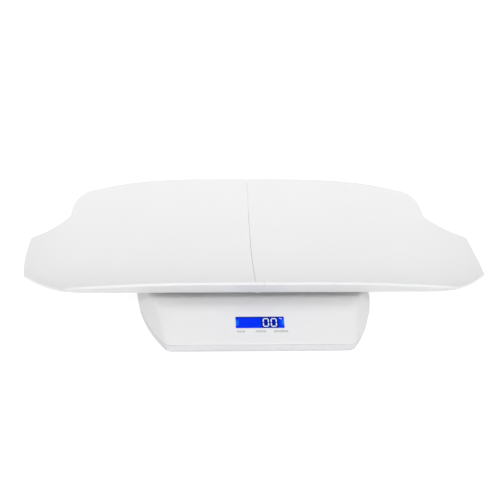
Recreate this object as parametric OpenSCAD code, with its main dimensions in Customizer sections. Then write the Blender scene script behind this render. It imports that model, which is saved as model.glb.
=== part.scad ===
// Digital baby weighing scale: a two-piece trough tray on a flat four-footed base.
// Millimetres, +Z up, +Y away from the display. The origin is on the table under the middle.

/* [Tray] */
// Length of the tray over both ends
tray_len = 560; // [500:1:620]
// Depth of the tray over the middle of its long edges
tray_depth = 309; // [290:1:330]
// Radius of the trough across its depth
trough_r = 230; // [210:1:300]
// Thickness of the moulded tray wall
tray_t = 2.6; // [2:0.1:3.5]
// How far the long edges draw in between the middle and the corners
arch_drop = 20; // [8:0.5:24]
// Length of the narrow ear past each corner
ear_len = 55; // [50:1:80]
// Width of the ears
ear_w = 106; // [96:1:150]
// Width of the tray at the hollows between corners and ears
neck_w = 209; // [196:1:225]
// How far these hollows lie past the corners
neck_step = 5.5; // [3:0.5:24]
// Radius of the tray's four corners
corner_r = 34; // [12:1:35]
// Radius of the hollow between corner and ear
neck_r = 4; // [2:1:26]
// Radius of the ears' corners
ear_r = 10; // [4:1:18]
// How far the ends of the tray turn up
end_rise = 15.6; // [0:0.2:20]
// Length over which the ends turn up
rise_len = 78; // [50:1:110]
// Length of the flanges where the two halves meet
flange_len = 136; // [90:1:240]
// Depth of these flanges
flange_h = 5; // [4:0.5:12]
// Thickness of the flanges and of the ribs under the tray
flange_t = 2.4; // [1.6:0.1:3]
// Gap between the two halves
seam_gap = 0.5; // [0.3:0.1:1]

/* [Tray pegs] */
// Diameter of the pegs that plug into the base
peg_d = 12; // [8:0.5:13]
// How deep the pegs reach into the base
peg_len = 11; // [7:0.5:13]
// Distance of the pegs from the middle along the tray
peg_x = 75; // [50:1:95]
// Distance of the pegs from the middle across the tray
peg_y = 25; // [18:1:30]
// Clearance round each peg in its socket
peg_fit = 0.3; // [0.2:0.05:0.6]

/* [Base] */
// Width of the base at its widest
base_w = 288; // [276:1:310]
// Depth of the base from front edge to back edge
base_d = 277.6; // [270:0.2:300]
// Radius of the bulging sides, seen from above
side_r = 300; // [260:5:420]
// Radius of the corners, seen from above
base_corner_r = 10; // [6:0.5:16]
// Height of the widest line above the table
waist_z = 20; // [18:0.5:24]
// Height of the flat top above the table
plateau_z = 42; // [40:0.5:48]
// Slope of the front panel
panel_a = 25; // [22:0.5:28]
// Draft of the sides above the waist
side_draft = 28; // [20:1:34]
// Draft of the walls below the waist
tub_draft = 8; // [4:1:22]
// Radius of the blend between panel and flat top
blend_r = 45; // [25:1:60]
// Wall thickness of both covers
wall = 2.4; // [2:0.1:3]
// Height of the underside above the table
under_z = 7; // [6.5:0.1:8]

/* [Display] */
// Width of the display window
window_w = 57; // [50:0.5:62]
// Height of the display window
window_h = 19; // [16:0.5:24]
// Distance of the window's middle up the panel from its front edge
window_y = 29; // [28.5:0.5:34]
// Thickness of the window
window_t = 1.6; // [1:0.1:1.8]

/* [Keys] */
// Width of a key
key_w = 16; // [12:0.5:18]
// Height of a key along the panel
key_h = 6; // [5:0.5:7]
// Distance of the keys up the panel from its front edge
key_y = 11.5; // [11.5:0.1:13]
// Spacing of the keys
key_pitch = 23; // [22:0.5:26]
// Gap round each key
key_gap = 0.15; // [0.1:0.05:0.5]
// Travel of a key
key_travel = 0.5; // [0.3:0.1:0.8]

/* [Feet] */
// Distance of the feet's middles in from the base's sides
foot_in_x = 52; // [49:1:61]
// Distance of the feet's middles in from the base's front and back edges
foot_in_y = 46.3; // [42.3:1:56.3]
// Diameter of the foot cups
foot_d = 34.8; // [28:0.2:36]
// Thickness of the rubber pads
pad_t = 2.6; // [2:0.1:3.2]
// Width of a load cell
cell_w = 38; // [34:0.5:42]
// Thickness of a load cell
cell_t = 2; // [1.5:0.1:3]

/* [Battery] */
// Diameter of an AAA cell
aaa_d = 10.5; // [10:0.1:10.6]
// Length of an AAA cell
aaa_len = 44.5; // [43:0.1:44.6]
// Distance of the battery box from the middle towards the back
box_y = 62; // [50:1:66]
// Travel of the battery door
door_travel = 28; // [20:1:30]

/* [Hidden] */
KEY_NAMES = ["unit", "lock", "tare"];
$fn = 48;
eps = 0.01;

white = "#f1f2f3";
cut = 1; // how far a cutter passes a face that it opens

// Small fits that several pieces share
seat_gap = 0.2;   // tray over the flat top of the base
close_gap = 0.05; // parts pressed or stuck together

// ---- Points and arcs ----

function unit(v) = v / norm(v);
function turned(v, a) = [v.x * cos(a) - v.y * sin(a), v.x * sin(a) + v.y * cos(a)];

// Points of the round that takes the corner b off the path a - b - c
function round_at(a, b, c, r, steps) =
    let (u = unit(a - b), v = unit(c - b), half = acos(u * v) / 2,
         mid = b + unit(u + v) * r / sin(half),
         first = b + u * r / tan(half) - mid,
         last = b + v * r / tan(half) - mid,
         way = sign(first.x * last.y - first.y * last.x),
         sweep = way * (180 - 2 * half))
    [for (i = [0:steps]) mid + turned(first, sweep * i / steps)];

// Closed solid through a list of rings with equally many points, capped at both ends
module loft(rings) {
    n = len(rings[0]);
    last = len(rings) - 1;
    polyhedron(
        points = [for (ring = rings) each ring],
        faces = concat(
            [[for (j = [0:n - 1]) j]],
            [for (i = [0:last - 1], j = [0:n - 1])
                let (a = i * n + j, b = i * n + (j + 1) % n) each [[a, a + n, b], [b, a + n, b + n]]],
            [[for (j = [n - 1:-1:0]) last * n + j]]),
        convexity = 8);
}

module rounded_plate(w, h, r, z0, z1) {
    translate([0, 0, z0]) linear_extrude(z1 - z0)
        union() {
            square([w, h - 2 * r], center = true);
            square([w - 2 * r, h], center = true);
            for (x = [-1, 1], y = [-1, 1])
                translate([x * (w / 2 - r), y * (h / 2 - r)]) circle(r);
        }
}

// ---- Tray ----

half_len = tray_len / 2;
corner_x = half_len - ear_len;
corner_y = tray_depth / 2 - arch_drop;
arch_power = 3.6;
ear_side = 8;  // straight side of the ear's end
end_bow = 3;   // the ends bow out this much
seat_z = plateau_z + seat_gap;
tray_over = 1.8; // underside of the trough over the flat top
tray_z = plateau_z + tray_over + tray_t; // lowest line of the trough

function arch_y(x) = tray_depth / 2 - arch_drop * pow(x / corner_x, arch_power);

corner = [corner_x, corner_y];
neck = [corner_x + neck_step, neck_w / 2];
end_edge = [half_len - end_bow, ear_w / 2 - ear_side];
ear = end_edge + [0, ear_side];
arch_slope = arch_power * arch_drop / corner_x;
corner_run = 40; // a point this far back along the edge sets the way into the corner
corner_arc = round_at(corner - corner_run * [1, -arch_slope], corner, neck, corner_r, 6);
neck_arc = round_at(corner, neck, ear, neck_r, 3);
ear_arc = round_at(neck, ear, end_edge, ear_r, 4);
arch_steps = 10;
arch_short = 8; // the arch's last point stands this far before the corner's round
arch_len = corner_arc[0].x - arch_short - seam_gap / 2;
// Half outline of one tray half, from the seam to the end: [distance along, half depth]
outline = concat(
    [for (i = [0:arch_steps]) let (x = seam_gap / 2 + arch_len * i / arch_steps) [x, arch_y(x)]],
    corner_arc, neck_arc, ear_arc, [end_edge]);

rows = 20;
function bow_at(x) = end_bow * pow(max(0, (x - corner_x) / (end_edge.x - corner_x)), 2);
function rise_at(x) = end_rise * pow(max(0, (x - half_len + rise_len) / rise_len), 2);
function rise_slope(x) = 2 * end_rise * max(0, x - half_len + rise_len) / pow(rise_len, 2);
function trough_z(x, y) = tray_z + trough_r - sqrt(pow(trough_r, 2) - pow(y, 2)) + rise_at(x);
function wall_way(x, y) = unit([rise_slope(x), y / sqrt(pow(trough_r, 2) - pow(y, 2)), -1]);
function tray_point(s, v) = let (x = s.x + bow_at(s.x) * (1 - v * v), y = s.y * v) [x, y, trough_z(x, y)];
function tray_ring(s) =
    let (top = [for (j = [0:rows]) tray_point(s, 1 - 2 * j / rows)])
    concat(top, [for (j = [rows:-1:0]) top[j] + tray_t * wall_way(top[j].x, top[j].y)]);

collar_t = 3; // collar round each peg, which stands on the flat top

module tray_peg(x, y) {
    // the round tops end inside the tray wall
    top_z = trough_z(x, y) - tray_t / 2;
    translate([x, y, plateau_z - peg_len]) cylinder(h = top_z - plateau_z + peg_len, d = peg_d);
    translate([x, y, seat_z]) cylinder(h = top_z - seat_z, r = peg_d / 2 + collar_t);
}

rib_x = 14;       // ribs start this far from the middle
rib_in = 24;      // ribs end this far inside the base's sides
rib_spread = 1.5; // ribs stand this much further out than the pegs

// Stiffening rib along the underside, resting on the flat top of the base
module tray_rib(y) {
    top_z = trough_z(0, abs(y)) - tray_t / 2;
    translate([rib_x, y - flange_t / 2, seat_z])
        cube([base_w / 2 - rib_in - rib_x, flange_t, top_z - seat_z]);
}

// Flange that hangs along the middle of the seam and meets the other half's flange
module seam_flange() {
    mid_z = tray_z + trough_r;
    inner = trough_r + tray_t / 2;
    outer = trough_r + tray_t + flange_h;
    reach = asin(flange_len / 2 / outer);
    difference() {
        translate([seam_gap / 2, 0, mid_z]) rotate([0, 90, 0]) rotate([0, 0, -reach])
            rotate_extrude(angle = 2 * reach, $fn = 180)
                translate([inner, 0]) square([outer - inner, flange_t]);
        translate([-cut, -tray_depth / 2, 0]) cube([flange_t + seam_gap + 2 * cut, tray_depth, seat_z]);
    }
}

// Closed wall through the tray's rings, whose upper and lower points lie opposite each other
module tray_wall(rings) {
    n = len(rings[0]);
    last = len(rings) - 1;
    strip = [for (j = [0:rows - 1]) each [[j, j + 1, n - 2 - j], [j, n - 2 - j, n - 1 - j]]];
    polyhedron(
        points = [for (ring = rings) each ring],
        faces = concat(
            strip,
            [for (i = [0:last - 1], j = [0:n - 1])
                let (a = i * n + j, b = i * n + (j + 1) % n) each [[a, a + n, b], [b, a + n, b + n]]],
            [for (f = strip) [f[2] + last * n, f[1] + last * n, f[0] + last * n]]),
        convexity = 8);
}

module tray_half() {
    color(white) union() {
        tray_wall([for (s = outline) tray_ring(s)]);
        for (y = [-peg_y, peg_y]) {
            tray_peg(peg_x, y);
            tray_rib(y * rib_spread);
        }
        seam_flange();
    }
}
module tray_left() mirror([1, 0, 0]) tray_half();
module tray_right() tray_half();

// ---- Base outline ----

half_w = base_w / 2;
half_d = base_d / 2;

part_drop = 2;              // the covers meet this far below the widest line
part_z = waist_z - part_drop;
part_gap = 0.3;
skirt_in = 5.5;             // width of the top cover's front and back rims
rim_extra = 0.4;            // the rims at the sides are this much wider than the wall
tongue_h = 1.6;
tongue_t = 1.4;
tongue_gap = 0.5;
drop = wall / cos(panel_a); // height of the panel's wall measured straight down
side_in = (wall - drop * sin(side_draft)) / cos(side_draft);

side_steps = 8;
arc_steps = 7;
edge_steps = 2;

// One ring of the base: half depth d, half width w, corner radius r, height z
function side_x(w, y) = w - side_r + sqrt(pow(side_r, 2) - pow(y, 2));
function quarter(d, w, r) =
    let (tip = [side_x(w, d), d], near = [side_x(w, d - 2 * r), d - 2 * r],
         arc = round_at(near, tip, [0, d], r, arc_steps))
    concat(
        [for (i = [0:side_steps]) let (y = (arc[0].y - r / 2) * i / side_steps) [side_x(w, y), y]],
        arc,
        [for (i = [1:edge_steps]) [arc[arc_steps].x * (1 - i / edge_steps), d]]);
function ring(z, d, w, r) =
    let (q = quarter(d, w, r), n = len(q))
    [for (p = concat(
        q,
        [for (i = [n - 2:-1:0]) [-q[i].x, q[i].y]],
        [for (i = [1:n - 1]) [-q[i].x, -q[i].y]],
        [for (i = [n - 2:-1:1]) [q[i].x, -q[i].y]])) [p.x, p.y, z]];

// Section of the top cover, from the waist to the flat top: [height, half depth, half width, radius]
crest_d = half_d - (plateau_z - waist_z) / tan(panel_a); // panel and flat top meet here if not blended
flat_d = crest_d - blend_r * tan(panel_a / 2);
panel_top_z = plateau_z - blend_r * (1 - cos(panel_a));
shoulder_h = plateau_z - panel_top_z;
shoulder_r = shoulder_h / (1 - sin(side_draft));
shoulder_w = half_w - (panel_top_z - waist_z) * tan(side_draft) - shoulder_r * cos(side_draft);
top_corner_r = 26; // corners widen towards the flat top
blend_steps = 6;
function corner_at(z) =
    base_corner_r + (top_corner_r - base_corner_r) * (z - waist_z) / (plateau_z - waist_z);
upper = concat(
    [[waist_z, half_d, half_w, base_corner_r]],
    [for (i = [blend_steps:-1:0])
        let (t = panel_a * i / blend_steps, z = plateau_z - blend_r * (1 - cos(t)))
        [z, flat_d + blend_r * sin(t),
         shoulder_w + shoulder_r * sqrt(1 - pow(1 - (plateau_z - z) / shoulder_r, 2)), corner_at(z)]]);

function tub_d(z) = half_d - (waist_z - z) * tan(tub_draft);
function tub_w(z) = half_w - (waist_z - z) * tan(tub_draft);
module base_core() {
    loft(concat([ring(under_z, tub_d(under_z), tub_w(under_z), base_corner_r)],
                [for (u = upper) ring(u[0], u[1], u[2], u[3])]));
}

// ---- Places shared by several pieces ----

feet = [for (x = [-1, 1], y = [-1, 1]) [x * (half_w - foot_in_x), y * (half_d - foot_in_y)]];
pegs = [for (x = [-1, 1], y = [-1, 1]) [x * peg_x, y * peg_y]];
screw_x = 62;      // front and back screws from the middle
screw_in_y = 26.3; // front and back screws in from the edges
screw_in_x = 25;   // side screws in from the sides
screws = concat([for (x = [-1, 1], y = [-1, 1]) [x * screw_x, y * (half_d - screw_in_y)]],
                [for (x = [-1, 1]) [x * (half_w - screw_in_x), 0]]);
screw_d = 2.4;
screw_head_d = 6;
screw_head_h = 1.8;
screw_sink = 3.6;         // depth of the recess over a screw's head
post_h = 6;               // posts of the bottom cover, over the underside
post_gap = 0.1;           // between the posts of the two covers
pilot_len = 11;           // thread in the posts of the top cover
screw_seat_z = under_z + screw_sink;
post_top = under_z + post_h;
pilot_top = post_top + pilot_len;
floor_z = under_z + wall; // top of the floor inside

// The panel's own frame: x along it, y up it from the front edge, z out of it
module on_panel() translate([0, -half_d, waist_z]) rotate([panel_a, 0, 0]) children();

panel_in = -wall;     // inner face of the panel
window_gap = 0.15;    // round the window in its rebate
window_r = 1.05;      // corners of the window
window_ledge = 2;     // the window rests on a ledge this wide
lcd_w = window_w - 3;
lcd_h = window_h - 1.5;
lcd_gap = 0.1;        // under the panel
lcd_top = panel_in - lcd_gap;
lcd_t = 1.9;
frame_wall = 3;
frame_front = 2; // the frame's bar beside the keys is thinner
frame_gap = 0.5; // under the panel, whose inner face starts to bend down before the frame ends
frame_w = lcd_w + 2 * frame_wall;
frame_h = lcd_h + frame_front + frame_wall;
board_drop = 5;       // face of the board under the panel's inner face
board_top = panel_in - board_drop;
board_t = 1.6;
board_past_keys = 10; // the board passes the outer keys this far at each side
board_below_keys = 4; // and the middle of the keys this far at the front
board_past_frame = 3; // and the display's frame this far at the back
board_w = 2 * (key_pitch + key_w / 2 + board_past_keys);
board_y0 = key_y - board_below_keys;
board_y1 = window_y + lcd_h / 2 + frame_wall + board_past_frame;
board_screw_in = [4.5, 4]; // board screws in from the board's edges
board_screws_at = [for (x = [-1, 1], y = [board_y0 + board_screw_in.y, board_y1 - board_screw_in.y])
    [x * (board_w / 2 - board_screw_in.x), y]];
board_screw_d = 1.7;
board_screw_len = 5;
board_post_r = 2.8;
key_x = [for (i = [-1:1]) i * key_pitch];
key_r = 1.25;         // corners of the keys
key_flange_t = 0.8;
key_flange = 1;       // the flange under a key stands out this far all round
key_flange_gap = 0.15; // under the panel
key_flange_top = panel_in - key_flange_gap;
plunger_d = 3;
plunger_fit = 0.15;
plunger_root = 0.6;   // how far the plunger reaches into its switch
switch_clear = 0.4;   // between a switch and the key's flange at the end of its travel
plunger_top = key_flange_top - key_flange_t - close_gap;
switch_top = plunger_top - key_travel - switch_clear;
switch_w = 6;

// ---- Covers ----

module top_shell() {
    inner_rim_z = waist_z + skirt_in * tan(panel_a) - drop;
    loft(concat(
        [for (i = [len(upper) - 1:-1:1]) let (u = upper[i]) ring(u[0] - drop, u[1], u[2] - side_in, u[3])],
        [ring(inner_rim_z, half_d - skirt_in, half_w - wall - rim_extra, base_corner_r),
         ring(part_z, half_d - skirt_in, half_w - wall - rim_extra, base_corner_r),
         ring(part_z, tub_d(part_z), tub_w(part_z), base_corner_r)],
        [for (u = upper) ring(u[0], u[1], u[2], u[3])]));
}

post_r = 4.2;     // posts of the top cover that the screws bite into
cup_t = 2;        // wall of the sockets for the pegs
cup_floor_t = 1.6;
cup_clear = 1;    // under each peg in its socket
window_hole_r = 1;

module top_cover() {
    cup_floor = plateau_z - peg_len - cup_clear;
    color(white) difference() {
        union() {
            top_shell();
            intersection() {
                base_core();
                for (s = screws) translate([s.x, s.y, post_top + post_gap])
                    cylinder(h = plateau_z, r = post_r);
            }
            for (p = pegs) translate([p.x, p.y, cup_floor - cup_floor_t])
                cylinder(h = peg_len + cup_clear + cup_floor_t - wall / 2, r = peg_d / 2 + peg_fit + cup_t);
            on_panel() for (b = board_screws_at)
                translate([b.x, b.y, board_top]) cylinder(h = -board_top - wall / 2, r = board_post_r);
        }
        for (p = pegs) translate([p.x, p.y, cup_floor])
            cylinder(h = peg_len + cup_clear + cut, d = peg_d + 2 * peg_fit);
        for (s = screws) translate([s.x, s.y, post_top]) cylinder(h = pilot_top - post_top, d = screw_d);
        on_panel() {
            translate([0, window_y]) {
                rounded_plate(window_w + 2 * window_gap, window_h + 2 * window_gap, window_r + window_gap,
                              -window_t - close_gap, cut);
                rounded_plate(window_w - 2 * window_ledge, window_h - 2 * window_ledge, window_hole_r,
                              panel_in - cut, cut);
            }
            for (x = key_x) translate([x, key_y])
                rounded_plate(key_w + 2 * key_gap, key_h + 2 * key_gap, key_r + key_gap, panel_in - cut, cut);
            for (b = board_screws_at) translate([b.x, b.y, board_top - cut])
                cylinder(h = board_screw_len - 1 + cut, d = board_screw_d + 2 * close_gap);
        }
    }
}

// The door's channel in the underside, and the box for the cells above it
aaa_gap = 0.7;    // between two cells
spring_h = 3.4;
plate_t = 0.4;
box_play = [1.2, 0.8, 0.6]; // room in the box beside, behind and over the cells
aaa_pitch = aaa_d + aaa_gap;
box_w = 4 * aaa_pitch + box_play.x;
box_len = aaa_len + spring_h + 2 * plate_t + box_play.y;
box_wall = 1.6;
door_t = 2;
door_gap = 0.3;
door_past = [7, 3]; // the door passes the box this far at each side and at each end
door_w = box_w + 2 * door_past.x;
door_len = box_len + 2 * door_past.y;
tongue_out = 1.4;
door_lip = 0.6;
cells_over = 0.5; // the cells lie this far over the door
cells_z = under_z + door_t + cells_over;
box_top = cells_z + aaa_d + box_play.z;
channel_top = under_z + door_t + door_gap;
channel_roof_t = 1.6;
channel_y0 = box_y - door_len / 2 - door_gap;
channel_len = door_len + door_travel + 2 * door_gap;

foot_gap = 1.2;    // round each foot cup in its hole
foot_ring_h = 1;   // ring round each foot's hole, above the floor
foot_ring_t = 2.5;
bottom_r = 4;      // rounded edge of the underside
bottom_steps = 4;
tongue_root = 1.8; // the tongue's inner face starts this far below the joint
wall_root = 3;     // and the wall has its plain thickness from this far below it
floor_fillet = 2;  // between the wall and the floor inside
screw_post_r = 5.6;
head_gap = 0.4;    // round the heads of the screws
shank_gap = 0.5;   // round their shanks
stake_in = 3;      // the load cells' stakes stand this far in from the cells' edges
stake_r = 1.2;
stake_foot_r = 2.4;
stake_out = 0.8;   // stakes stand out over the load cells

module bottom_shell() {
    rounding = [for (i = [0:bottom_steps]) let (a = 90 * i / bottom_steps)
        [under_z + bottom_r * (1 - cos(a)), bottom_r * (1 - sin(a))]];
    tongue_d = half_d - skirt_in - tongue_gap;
    tongue_w = half_w - wall - rim_extra - tongue_gap;
    inner_r = base_corner_r - wall;
    // Inner wall at a height, drawn in a little further by a fillet
    function inner_ring(z, fillet) = ring(z, tub_d(z) - wall - fillet, tub_w(z) - wall - fillet, inner_r);
    loft(concat(
        [for (p = rounding) ring(p[0], tub_d(p[0]) - p[1], tub_w(p[0]) - p[1], base_corner_r)],
        [ring(part_z - part_gap, tub_d(part_z - part_gap), tub_w(part_z - part_gap), base_corner_r),
         ring(part_z - part_gap, tongue_d, tongue_w, base_corner_r),
         ring(part_z + tongue_h, tongue_d, tongue_w, base_corner_r),
         ring(part_z + tongue_h, tongue_d - tongue_t, tongue_w - tongue_t, inner_r),
         ring(part_z - tongue_root, tongue_d - tongue_t, tongue_w - tongue_t, inner_r),
         inner_ring(part_z - wall_root, 0),
         inner_ring(floor_z + floor_fillet, 0),
         inner_ring(floor_z, floor_fillet)]));
}

module bottom_cover() {
    block_w = door_w + 2 * (tongue_out + door_gap + box_wall);
    stakes = cell_w / 2 - stake_in;
    root_z = floor_z - 1; // what stands on the floor starts inside it
    color(white) difference() {
        union() {
            bottom_shell();
            translate([-block_w / 2, channel_y0 - box_wall, root_z])
                cube([block_w, channel_len + 2 * box_wall, channel_top + channel_roof_t - root_z]);
            translate([-box_w / 2 - box_wall, box_y - box_len / 2 - box_wall, root_z])
                cube([box_w + 2 * box_wall, box_len + 2 * box_wall, box_top + box_wall - root_z]);
            for (s = screws) translate([s.x, s.y, root_z]) cylinder(h = post_top - root_z, r = screw_post_r);
            for (f = feet) translate([f.x, f.y, root_z]) {
                cylinder(h = floor_z + foot_ring_h - root_z, d = foot_d + 2 * (foot_gap + foot_ring_t));
                for (x = [-1, 1], y = [-1, 1]) translate([x * stakes, y * stakes]) {
                    cylinder(h = cell_z - root_z - close_gap, r = stake_foot_r);
                    cylinder(h = cell_z - root_z + cell_t + stake_out, r = stake_r);
                }
            }
        }
        translate([-door_w / 2 - door_gap, channel_y0, under_z - cut])
            cube([door_w + 2 * door_gap, channel_len, door_t + door_gap + cut]);
        translate([-door_w / 2 - door_gap - tongue_out, channel_y0, under_z + door_lip])
            cube([door_w + 2 * (door_gap + tongue_out), channel_len, channel_top - under_z - door_lip]);
        translate([-box_w / 2, box_y - box_len / 2, under_z - cut])
            cube([box_w, box_len, box_top - under_z + cut]);
        for (f = feet) translate([f.x, f.y, under_z - cut])
            cylinder(h = wall + foot_ring_h + 2 * cut, d = foot_d + 2 * foot_gap);
        for (s = screws) translate([s.x, s.y, under_z - cut]) {
            cylinder(h = screw_seat_z - under_z + cut, d = screw_head_d + 2 * head_gap);
            cylinder(h = post_top - under_z + 2 * cut, d = screw_d + 2 * shank_gap);
        }
    }
}

screw_slot = [3.4, 0.8, 0.9]; // each bar of the cross slot: long, wide and deep

module cover_screws() {
    color("#b9bdc1") for (s = screws) translate([s.x, s.y, screw_seat_z - screw_head_h]) difference() {
        union() {
            cylinder(h = screw_head_h - close_gap, d = screw_head_d);
            cylinder(h = pilot_top - screw_seat_z, d = screw_d - 2 * close_gap);
        }
        for (a = [0, 90]) rotate([0, 0, a]) translate([-screw_slot.x / 2, -screw_slot.y / 2, -cut])
            cube([screw_slot.x, screw_slot.y, cut + screw_slot.z]);
    }
}

// ---- Display and keys ----

module display_window() {
    color("#0a33e6") on_panel() translate([0, window_y])
        rounded_plate(window_w, window_h, window_r, -window_t, 0);
}

module lcd_panel() {
    color("#1140f0") on_panel() translate([-lcd_w / 2, window_y - lcd_h / 2, lcd_top - lcd_t])
        cube([lcd_w, lcd_h, lcd_t]);
}

module backlight_panel() {
    color("#dfe8f5") on_panel() translate([-lcd_w / 2, window_y - lcd_h / 2, board_top + close_gap])
        cube([lcd_w, lcd_h, lcd_top - lcd_t - close_gap - board_top - close_gap]);
}

module lcd_frame() {
    color("#d8dadd") on_panel() translate([0, window_y, 0]) difference() {
        translate([-frame_w / 2, -lcd_h / 2 - frame_front, board_top + close_gap])
            cube([frame_w, frame_h, panel_in - frame_gap - board_top - close_gap]);
        translate([-lcd_w / 2 - close_gap, -lcd_h / 2 - close_gap, board_top - cut])
            cube([lcd_w + 2 * close_gap, lcd_h + 2 * close_gap, panel_in - board_top + 2 * cut]);
    }
}

module main_board() {
    color("#1f6b3a") on_panel() difference() {
        translate([-board_w / 2, board_y0, board_top - close_gap - board_t])
            cube([board_w, board_y1 - board_y0, board_t]);
        for (b = board_screws_at) translate([b.x, b.y, board_top - board_t - cut])
            cylinder(h = board_t + 2 * cut, d = board_screw_d + 2 * board_screw_gap);
    }
}

board_screw_gap = 0.25; // round each screw in the board
board_screw_head = [4.2, 1.4]; // across and high
board_screw_slot = [2.6, 0.6, 0.6];
chip = [12, 12, 1.4];

module controller_chip() {
    color("#1b1c1e") on_panel()
        translate([-chip.x / 2, window_y - chip.y / 2, board_top - board_t - 2 * close_gap - chip.z])
            cube(chip);
}

module board_screws() {
    color("#b9bdc1") on_panel() for (b = board_screws_at)
        translate([b.x, b.y, board_top - board_t - 2 * close_gap]) difference() {
            union() {
                translate([0, 0, -board_screw_head[1]])
                    cylinder(h = board_screw_head[1], d = board_screw_head[0]);
                cylinder(h = board_screw_len, d = board_screw_d);
            }
            translate([-board_screw_slot.x / 2, -board_screw_slot.y / 2, -board_screw_head[1] - cut])
                cube([board_screw_slot.x, board_screw_slot.y, cut + board_screw_slot.z]);
        }
}

module key(i) {
    color(white) on_panel() translate([key_x[i], key_y]) union() {
        rounded_plate(key_w, key_h, key_r, key_flange_top - eps, 0);
        rounded_plate(key_w + 2 * key_flange, key_h + 2 * key_flange, key_r + key_flange,
                      key_flange_top - key_flange_t, key_flange_top);
    }
}

module plunger(i) {
    color("#2a2b2e") on_panel() translate([key_x[i], key_y, switch_top - plunger_root])
        cylinder(h = plunger_top - switch_top + plunger_root, d = plunger_d);
}

module tact_switch(i) {
    color("#303236") on_panel() translate([key_x[i], key_y]) difference() {
        translate([-switch_w / 2, -switch_w / 2, board_top])
            cube([switch_w, switch_w, switch_top - board_top]);
        translate([0, 0, switch_top - plunger_root - 2 * close_gap - key_travel])
            cylinder(h = plunger_root + key_travel + cut, d = plunger_d + 2 * plunger_fit);
    }
}

// ---- Feet ----

cell_z = under_z + 5.2; // underside of the load cells
cell_open = 28;
cell_tab = 20;
bridge_w = 12;
cell_hole_r = stake_r + 0.15;
pad_in = 1.2;       // the pads' sides lie this far inside the cups'
pad_bevel = 1;
foot_plate_t = 2.4; // plate of a foot cup, which its pad sticks to
foot_boss_d = 11;   // boss of a foot cup, which bears on the load cell
gauge = [6, 5, 0.4];

module foot_pad(f) {
    side = foot_d / 2 - pad_in;
    color("#c9cccf") translate([f.x, f.y]) rotate_extrude()
        polygon([[0, 0], [side - pad_bevel, 0], [side, pad_bevel], [side, pad_t], [0, pad_t]]);
}

module foot_cup(f) {
    color(white) translate([f.x, f.y, pad_t]) union() {
        cylinder(h = foot_plate_t, d = foot_d);
        cylinder(h = cell_z - pad_t - close_gap, d = foot_boss_d);
    }
}

module load_cell(f) {
    hole = cell_w / 2 - stake_in;
    color("#aeb3b8") translate([f.x, f.y, cell_z]) difference() {
        translate([-cell_w / 2, -cell_w / 2]) cube([cell_w, cell_w, cell_t]);
        difference() {
            translate([-cell_open / 2, -cell_open / 2, -cut]) cube([cell_open, cell_open, cell_t + 2 * cut]);
            translate([-cell_tab / 2, -cell_tab / 2, -2 * cut]) cube([cell_tab, cell_tab, cell_t + 4 * cut]);
            translate([-bridge_w / 2, 0, -2 * cut]) cube([bridge_w, cell_open, cell_t + 4 * cut]);
        }
        for (x = [-1, 1], y = [-1, 1]) translate([x * hole, y * hole, -cut])
            cylinder(h = cell_t + 2 * cut, r = cell_hole_r);
    }
}

// One on the bridge of each load cell
module strain_gauges() {
    gauge_y = (cell_tab + cell_open) / 4 - gauge.y / 2;
    color("#c98a3a") for (f = feet)
        translate([f.x - gauge.x / 2, f.y + gauge_y, cell_z + cell_t + close_gap]) cube(gauge);
}

// ---- Battery box ----

aaa_x = [for (i = [0:3]) (i - 1.5) * aaa_pitch];
aaa_nub = 0.8;
aaa_nub_d = 3.8;
// Each cell lies the other way round from the one beside it
function nub_way(i) = i % 2 == 0 ? 1 : -1;

module battery(i) {
    color("#4d7a5a") translate([aaa_x[i], box_y + nub_way(i) * spring_h / 2, cells_z + aaa_d / 2])
        rotate([-90 * nub_way(i), 0, 0]) union() {
            translate([0, 0, -aaa_len / 2]) cylinder(h = aaa_len - aaa_nub, d = aaa_d);
            cylinder(h = aaa_len / 2, d = aaa_nub_d);
        }
}

contact_w = 9;
spring_root_r = 4;
spring_tip_r = 2.4;
module contact(i, way) {
    translate([aaa_x[i], box_y + way * (box_len / 2 - close_gap), cells_z + aaa_d / 2])
        rotate([90 * way, 0, 0]) children();
}

module contact_plates() {
    color("#cfd3d6") for (i = [0:3]) contact(i, nub_way(i))
        translate([-contact_w / 2, -contact_w / 2]) cube([contact_w, contact_w, plate_t]);
}

module contact_springs() {
    color("#cfd3d6") for (i = [0:3]) contact(i, -nub_way(i)) union() {
        translate([-contact_w / 2, -contact_w / 2]) cube([contact_w, contact_w, plate_t]);
        cylinder(h = plate_t + spring_h, r1 = spring_root_r, r2 = spring_tip_r);
    }
}

door_lip_gap = 0.2;        // between the door's tongues and the lips of the channel
groove = [18, 1.2, 0.5];   // finger grooves in the door: long, wide and deep
groove_pitch = 3;
groove_in = 7;             // the first groove starts this far in from the door's end

module battery_door() {
    tongue_z = door_lip + door_lip_gap;
    color(white) difference() {
        union() {
            translate([-door_w / 2, box_y - door_len / 2, under_z]) cube([door_w, door_len, door_t]);
            translate([-door_w / 2 - tongue_out, box_y - door_len / 2, under_z + tongue_z])
                cube([door_w + 2 * tongue_out, door_len, door_t - tongue_z]);
        }
        for (i = [0:3])
            translate([-groove.x / 2, box_y + door_len / 2 - groove_in - i * groove_pitch, under_z - cut])
                cube([groove.x, groove.y, cut + groove.z]);
    }
}

tray_left();
tray_right();
top_cover();
bottom_cover();
display_window();
lcd_panel();
backlight_panel();
lcd_frame();
main_board();
controller_chip();
board_screws();
cover_screws();
battery_door();
contact_springs();
contact_plates();
strain_gauges();
for (i = [0:2]) key(i);
for (i = [0:2]) plunger(i);
for (i = [0:2]) tact_switch(i);
for (i = [1:4]) battery(i - 1);
for (i = [1:4]) foot_pad(feet[i - 1]);
for (i = [1:4]) foot_cup(feet[i - 1]);
for (i = [1:4]) load_cell(feet[i - 1]);
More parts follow.
